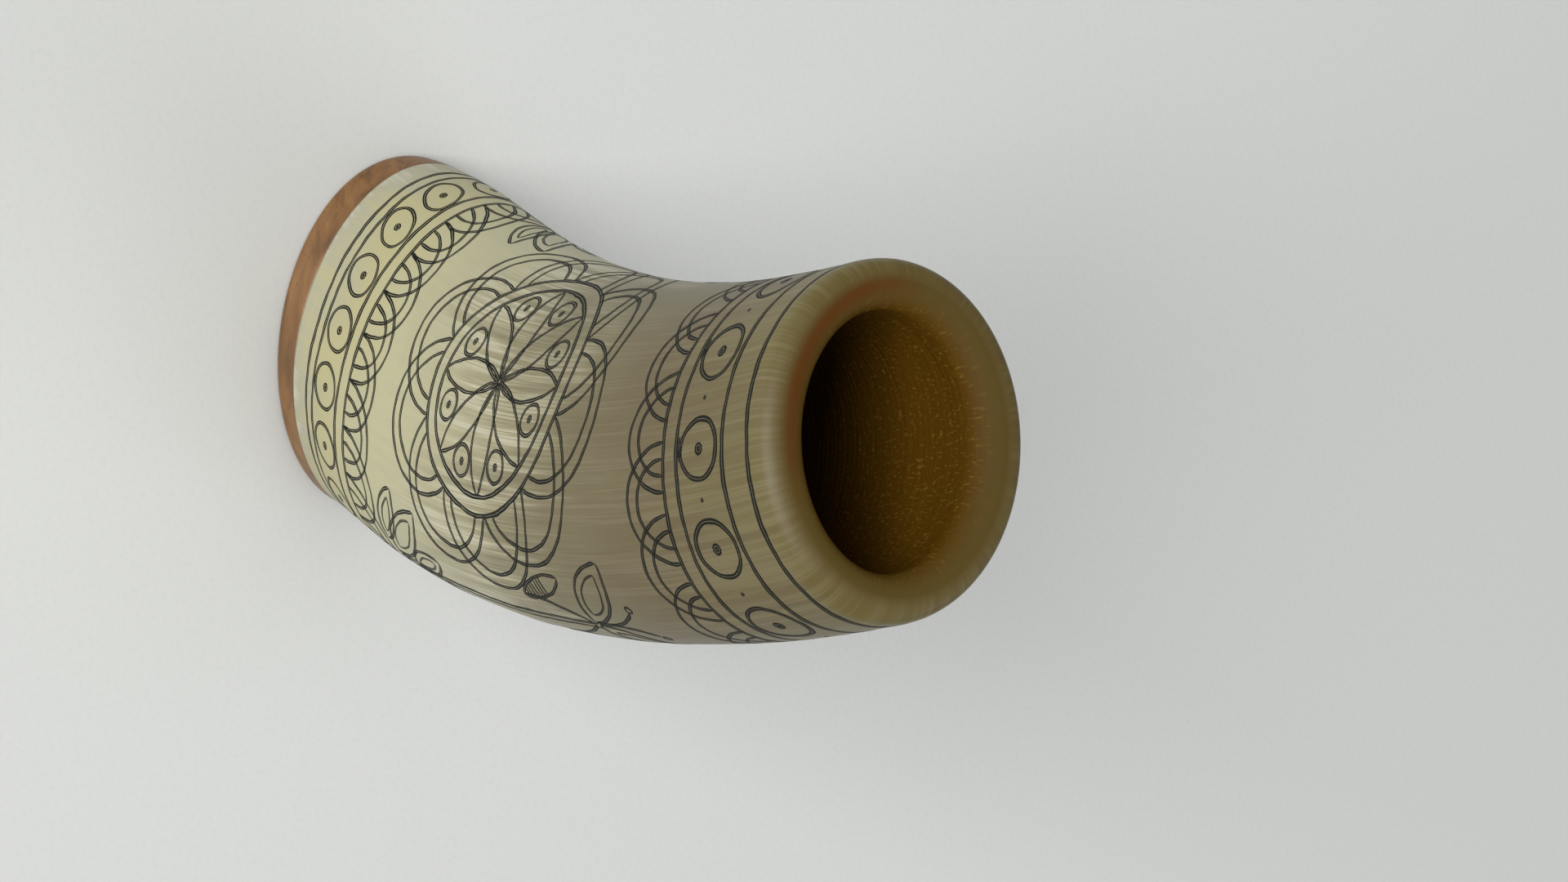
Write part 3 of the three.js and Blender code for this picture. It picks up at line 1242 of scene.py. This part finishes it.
@dataclass
class WoodenBase:
    """The base: a slab flush with the horn and a spigot inside it, with a fan over each end."""

    form: HornForm
    columns: int = 192
    rim_radius: float = 0.25

    def build(self, finish: OiledHardwood) -> bpy.types.Object:
        """Loft the base: rounded lower edge, flush side, rounded rim, shoulder and spigot.

        Args:
            finish: the wood's finish.

        Returns:
            The piece that stands for the CAD base.
        """
        form = self.form
        rounding = np.linspace(0, np.pi / 2, 9)
        edge = form.slab_edge_radius
        side = np.linspace(edge, form.slab_thickness - self.rim_radius, 12)[1:]
        rim = np.linspace(0, np.pi / 2, 5)[1:]
        heights = [edge * (1 - np.cos(rounding)), side]
        heights.append(form.slab_thickness - self.rim_radius * (1 - np.sin(rim)))
        insets = [edge * (1 - np.sin(rounding)), 0 * side, self.rim_radius * (1 - np.cos(rim))]
        spigot = np.linspace(form.slab_thickness, form.floor_height, 8)
        seat = form.wall(form.station_at_height(spigot)) + form.glue_thickness + 2 * form.clearance
        heights += [spigot[:1], spigot]
        insets += [seat[:1] - 0.4, seat]
        heights, insets = np.concatenate(heights), np.concatenate(insets)
        # Plates shrink towards each end's middle, so that the end faces are even and stay flat.
        shrink = np.array([0.92, 0.75, 0.5, 0.25, 0.1])
        angles = np.linspace(0, 2 * np.pi, self.columns, endpoint=False)
        loops = form.point(form.station_at_height(heights)[:, None], angles[None, :], insets[:, None])
        bottom_middle, top_middle = loops[0].mean(axis=0), loops[-1].mean(axis=0)
        bottom = bottom_middle + shrink[::-1, None, None] * (loops[0] - bottom_middle)
        top = top_middle + shrink[:, None, None] * (loops[-1] - top_middle)
        loops = np.concatenate([bottom, loops, top])
        faces = grid_faces(len(loops), self.columns, ring=False).tolist()
        points = np.vstack([loops.reshape(-1, 3), bottom_middle, top_middle])
        beside = (np.arange(self.columns) + 1) % self.columns
        last = (len(loops) - 1) * self.columns
        here = np.arange(self.columns)
        faces += np.column_stack([0 * here + len(points) - 2, beside, here]).tolist()
        faces += np.column_stack([0 * here + len(points) - 1, last + here, last + beside]).tolist()
        piece = make_piece("wooden_base_rounded_edge", points, faces, finish.material())
        return declare(piece, "base_wood", "wooden_base")


@dataclass
class InnerRings:
    """The two rings inside: the glue round the spigot, and the bead in the floor's corner."""

    form: HornForm
    columns: int = 192

    def ring(self, name: str, heights: Array, insets: Array, finish: AmberResin) -> bpy.types.Object:
        """Loft a closed ring through loops at given heights and insets from the outer face.

        Args:
            name: the piece's name.
            heights: the loops' heights in order round the ring's section, outwards facing.
            insets: their insets.
            finish: the ring's finish.

        Returns:
            The piece, not yet declared.
        """
        angles = np.linspace(0, 2 * np.pi, self.columns, endpoint=False)
        stations = self.form.station_at_height(heights)
        points = self.form.point(stations[:, None], angles[None, :], insets[:, None])
        faces = grid_faces(len(stations), self.columns, ring=True).tolist()
        return make_piece(name, points.reshape(-1, 3), faces, finish.material())

    def glue(self, finish: AmberResin) -> bpy.types.Object:
        """Loft the thin sleeve of glue between the spigot and the bore.

        Args:
            finish: the glue's finish.

        Returns:
            The piece that stands for the CAD sleeve.
        """
        form = self.form
        up = np.linspace(form.slab_thickness + form.clearance, form.floor_height, 7)
        wall = form.wall(form.station_at_height(up)) + form.clearance
        heights = np.concatenate([up, up[::-1]])
        insets = np.concatenate([wall, wall[::-1] + form.glue_thickness])
        return declare(self.ring("glue_film", heights, insets, finish), "glue", "glue_sleeve")

    def bead(self, finish: AmberResin) -> bpy.types.Object:
        """Loft the sealing bead: a hollow quarter round between the floor and the wall.

        Args:
            finish: the sealant's finish.

        Returns:
            The piece that stands for the CAD bead.
        """
        form = self.form
        foot = form.floor_height + form.clearance
        sweep = np.linspace(0, np.pi / 2, 11)
        heights = np.concatenate([[foot], foot + form.bead_size * (1 - np.sin(sweep))])
        walls = form.wall(form.station_at_height(heights)) + form.clearance
        insets = walls + np.concatenate([[0], form.bead_size * (1 - np.cos(sweep))])
        bead = self.ring("sealing_bead_fillet", heights, insets, finish)
        return declare(bead, "sealant", "sealing_bead")


@dataclass
class HornEngraving:
    """The whole drawing on the horn, from the bands at the mouth down to those at the base."""

    form: HornForm
    front_angle: float = 3.87
    rosette_up: float = 83.6

    def build(self, finish: EngravingPigment) -> None:
        """Cut each part of the drawing and make each one a piece.

        Args:
            finish: the pigment in the cuts.
        """
        unrolled = UnrolledHorn(self.form, self.front_angle)
        engraving = Engraving(unrolled, finish.material())
        for name, parts in self.drawing(unrolled).items():
            for part in parts:
                part.cut(engraving)
            engraving.finish(name)

    def drawing(self, unrolled: UnrolledHorn) -> dict[str, list]:
        """The drawing's parts by the name of the piece that they make.

        Args:
            unrolled: the face that the parts are laid out on.

        Returns:
            Lists of parts that can be cut.
        """
        girth = unrolled.girth(self.rosette_up)
        back = unrolled.back_stretch(self.rosette_up)
        return {
            "mouth_band_lines": [
                RingLine(166.4, Cut.BROAD),
                RingLine(159.9, Cut.BROAD),
                RingLine(147.4, Cut.BOLD),
                RingLine(143.6, Cut.BOLD),
            ],
            "mouth_band_ring_marks": [
                RingMarks(
                    153.5, 10, 4.85, 1.2, 12.3, smeared=(0, 5, 9), smear_up=148.3, between=0.5, width=Cut.BOLD
                )
            ],
            "mouth_band_scallops": [ScallopBand(143.6, -10.2, 10.0, 2.7, 14, 8.5)],
            "front_rosette": [Rosette(0.0, self.rosette_up)],
            "back_rosette": [Rosette(girth / 2, self.rosette_up, stretch=back)],
            "leaf_sprays": [LeafSpray(girth / 4), LeafSpray(-girth / 4)],
            "base_band_scallops": [ScallopBand(28.2, 11.3, 9.0, 2.8, 20, -13.5)],
            "base_band_ring_marks": [RingMarks(19.4, 16, 4.2, 1.0, -4.0)],
            "base_band_lines": [
                RingLine(28.2, Cut.BOLD),
                RingLine(24.5, Cut.BOLD),
                RingLine(14.2, Cut.LINE),
                RingLine(11.7, Cut.LINE),
            ],
        }


@dataclass
class Cup:
    """The whole cup, piece by piece."""

    form: HornForm = field(default_factory=HornForm)

    def build(self) -> None:
        """Build and dress every piece."""
        HornBody(self.form).build(PolishedHorn())
        WoodenBase(self.form).build(OiledHardwood())
        rings = InnerRings(self.form)
        rings.glue(AmberResin("hide_glue_pressed_film", ((0.3, "b98a3e"), (0.7, "8f6426")), 0.3))
        rings.bead(AmberResin("pine_resin_poured_bead", ((0.3, "7a4d1c"), (0.7, "4f2d0e")), 0.22))
        HornEngraving(self.form).build(EngravingPigment())


# ---- The studio ------------------------------------------------------------------------------


@dataclass
class Studio:
    """A pale floor, soft lights and the camera. Sizes are in metres and degrees."""

    aim: tuple[float, float, float] = (0.0343, 0.0554, 0.0508)
    distance: float = 0.69
    elevation: float = 52.58
    azimuth: float = -126.74
    roll: float = 109.2
    lens: float = 80.0
    floor_size: float = 6.0

    def build(self) -> None:
        """Make the floor, the lights and the camera."""
        self.floor()
        self.lights()
        self.camera()

    def floor(self) -> None:
        """A matt laminate table top: a wide plane at the height that the cup stands on."""
        half = self.floor_size / 2
        mesh = bpy.data.meshes.new("floor")
        corners = [(-half, -half, 0), (half, -half, 0), (half, half, 0), (-half, half, 0)]
        mesh.from_pydata(corners, [], [(0, 1, 2, 3)])
        floor = bpy.data.objects.new("floor", mesh)
        bpy.context.scene.collection.objects.link(floor)
        mesh.materials.append(MattLaminate().material())

    def lights(self) -> None:
        """A broad key from the front, a fill from the side and an even sky."""
        for name, place, power, size in (
            ("key", (-0.75, -1.25, 1.05), 25.0, 1.0),
            ("fill", (1.1, 0.5, 1.3), 6.0, 1.4),
            ("top", (-0.2, 0.1, 1.9), 6.5, 0.9),
        ):
            light = bpy.data.lights.new(name, "AREA")
            light.energy = power
            light.size = size
            lamp = bpy.data.objects.new(name, light)
            lamp.location = place
            lamp.rotation_euler = (Vector((0, 0, 0.08)) - Vector(place)).to_track_quat("-Z", "Y").to_euler()
            bpy.context.scene.collection.objects.link(lamp)
        world = bpy.data.worlds.new("sky")
        bpy.context.scene.world = world
        world.use_nodes = True
        world.node_tree.nodes["Background"].inputs[0].default_value = linear("f2f5fa")
        world.node_tree.nodes["Background"].inputs[1].default_value = 0.26

    def camera(self) -> None:
        """A camera on a sphere round the aim, rolled so that the cup lies across the frame."""
        elevation, azimuth, roll = np.radians([self.elevation, self.azimuth, self.roll])
        outward = Vector(
            (np.cos(elevation) * np.cos(azimuth), np.cos(elevation) * np.sin(azimuth), np.sin(elevation))
        )
        level = Vector((0, 0, 1)).cross(outward).normalized()
        upright = outward.cross(level)
        right = np.cos(roll) * level + np.sin(roll) * upright
        top = np.cos(roll) * upright - np.sin(roll) * level
        data = bpy.data.cameras.new("camera")
        data.lens = self.lens
        camera = bpy.data.objects.new("camera", data)
        turn = Matrix((right, top, outward)).transposed().to_4x4()
        camera.matrix_world = Matrix.Translation(Vector(self.aim) + self.distance * outward) @ turn
        bpy.context.scene.collection.objects.link(camera)
        bpy.context.scene.camera = camera


def main() -> None:
    """Build the studio and the cup."""
    logging.basicConfig(level=logging.INFO, format="%(message)s")
    bpy.context.scene.view_settings.view_transform = "Standard"
    Studio().build()
    Cup().build()


if __name__ == "__main__":
    main()
